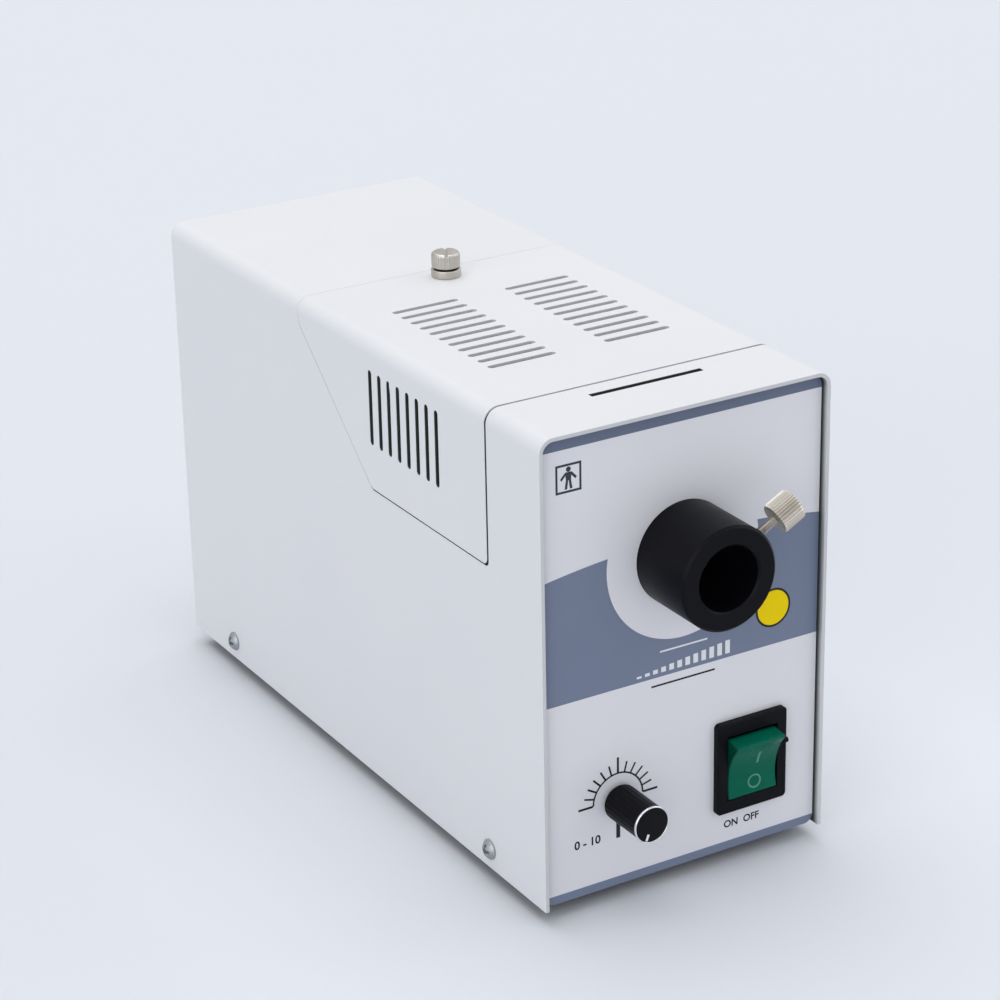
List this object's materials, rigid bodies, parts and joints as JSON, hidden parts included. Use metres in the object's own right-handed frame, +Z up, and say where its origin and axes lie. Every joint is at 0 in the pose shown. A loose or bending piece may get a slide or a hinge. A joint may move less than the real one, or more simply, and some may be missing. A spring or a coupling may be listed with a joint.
{
  "type": "fiber optic illuminator",
  "caption": "Bench light source in a folded metal case, with a light-guide port and clamp screw, dimmer knob, rocker switch, vented lift-off lamp cover and rear fan.",
  "frame": {"origin": "middle of the footprint, on the surface that the feet stand on", "axes": "+Z up, +Y towards the rear, so the front panel faces -Y; +X is on the right seen from the front"},
  "size_m": [0.1044, 0.259, 0.163],
  "materials": {
    "case_paint": "satin pale grey enamel",
    "panel_paint": "satin pale grey enamel",
    "overlay_print": "printed film, fine matt texture",
    "zinc_sheet": "zinc-plated sheet",
    "black_anodised": "satin black anodised",
    "nickel_plate": "nickel-plated",
    "zinc_screws": "zinc-plated",
    "nylon": "natural nylon",
    "black_plastic": "satin black",
    "knob_chrome": "polished",
    "brass": "turned or stamped",
    "pointer_white": "white inlay",
    "switch_black": "satin black",
    "switch_green": "translucent green, moulded I and O",
    "foot_rubber": "matt black",
    "heat_glass": "pale blue-green heat-absorbing glass",
    "mirror_glass": "dichroic-coated glass",
    "quartz": "clear quartz",
    "steatite": "glazed ceramic",
    "board_laminate": "green solder mask",
    "sink_alloy": "black anodised",
    "component_black": "moulded",
    "component_cans": "sleeved",
    "core_iron": "varnished laminations",
    "coil_tape": "copper winding under yellow tape",
    "wire_chrome": "bright wire",
    "fuse_glass": "glass tube with metal caps",
    "lead_sleeve": "silicone-sleeved wire"
  },
  "bodies": {
    "chassis": {"housing": "case_paint", "front_panel": "panel_paint", "rear_panel": "panel_paint", "front_overlay": "overlay_print", "base_tray": "zinc_sheet", "cover_ledges": "zinc_sheet", "lamp_bridge": "zinc_sheet", "lamp_bracket": "zinc_sheet", "filter_holder": "zinc_sheet", "control_bracket": "zinc_sheet", "transformer_brackets": "zinc_sheet", "glass_clips": "zinc_sheet", "lamp_spring": "zinc_sheet", "light_port": "black_anodised", "port_nut": "black_anodised", "side_screws": "nickel_plate", "foot_screws": "zinc_screws", "fan_screws": "zinc_screws", "inlet_screws": "zinc_screws", "transformer_bolts": "zinc_screws", "cover_nut": "zinc_screws", "control_nut": "zinc_screws", "thermal_cutout": "zinc_screws", "board_posts": "nylon", "fan_frame": "black_plastic", "mains_inlet": "black_plastic", "control_body": "black_plastic", "terminal_strip": "black_plastic", "inlet_contacts": "brass", "switch_terminals": "brass", "switch_body": "switch_black", "rubber_feet": "foot_rubber", "heat_glass": "heat_glass", "lamp_reflector": "mirror_glass", "lamp_capsule": "quartz", "lamp_holder": "steatite", "control_board": "board_laminate", "heat_sink": "sink_alloy", "triac": "component_black", "choke": "component_black", "board_capacitors": "component_cans", "transformer_core": "core_iron", "transformer_coil": "coil_tape", "fan_guard": "wire_chrome", "leads": "lead_sleeve"},
    "lamp_cover": {"lamp_cover": "case_paint", "cover_collar": "nickel_plate"},
    "thumb_washer": {"thumb_washer": "black_plastic"},
    "cover_screw": {"cover_thumbscrew": "nickel_plate"},
    "clamp_tip": {"clamp_tip": "nylon"},
    "clamp_screw": {"clamp_screw": "nickel_plate"},
    "knob": {"brightness_knob": "black_plastic", "knob_ring": "knob_chrome", "knob_pointer": "pointer_white", "knob_insert": "brass", "control_shaft": "zinc_screws"},
    "rocker": {"switch_rocker": "switch_green"},
    "fan_rotor": {"fan_rotor": "black_plastic"},
    "fuse_drawer": {"fuse_drawer": "black_plastic", "fuse": "fuse_glass"}
  },
  "joints": [
    {"name": "lamp_cover_lift", "type": "slide", "parent": "chassis", "child": "lamp_cover", "axis": [0, 0, 1], "range_m": [0, 0.06]},
    {"name": "cover_screw_rise", "type": "slide", "parent": "lamp_cover", "child": "thumb_washer", "axis": [0, 0, 1], "range_m": [0, 0.004]},
    {"name": "cover_screw_turn", "type": "hinge", "parent": "thumb_washer", "child": "cover_screw", "pos_m": [0, 0.02955, 0.155], "axis": [0, 0, 1], "range_deg": [0, 2057.2]},
    {"name": "clamp_tip_advance", "type": "slide", "parent": "chassis", "child": "clamp_tip", "axis": [-0.8829, 0, -0.4695], "range_m": [0, 0.004]},
    {"name": "clamp_screw_turn", "type": "hinge", "parent": "clamp_tip", "child": "clamp_screw", "pos_m": [0.01766, -0.12205, 0.11799], "axis": [-0.8829, 0, -0.4695], "range_deg": [0, 2880.1]},
    {"name": "brightness_turn", "type": "hinge", "parent": "chassis", "child": "knob", "pos_m": [-0.0231, -0.10845, 0.03395], "axis": [0, 1, 0], "range_deg": [0, 300]},
    {"name": "power_rocker", "type": "hinge", "parent": "chassis", "child": "rocker", "pos_m": [0.024, -0.10645, 0.03395], "axis": [-1, 0, 0], "range_deg": [0, 27]},
    {"name": "fan_spin", "type": "hinge", "parent": "chassis", "child": "fan_rotor", "pos_m": [0, 0.11155, 0.103], "axis": [0, 1, 0], "continuous": true},
    {"name": "fuse_drawer_pull", "type": "slide", "parent": "chassis", "child": "fuse_drawer", "axis": [0, 1, 0], "range_m": [0, 0.022]}
  ],
  "couplings": [
    {"joint": "cover_screw_turn", "follows": "cover_screw_rise", "rad_per_m": 8976},
    {"joint": "clamp_screw_turn", "follows": "clamp_tip_advance", "rad_per_m": 12566}
  ]
}
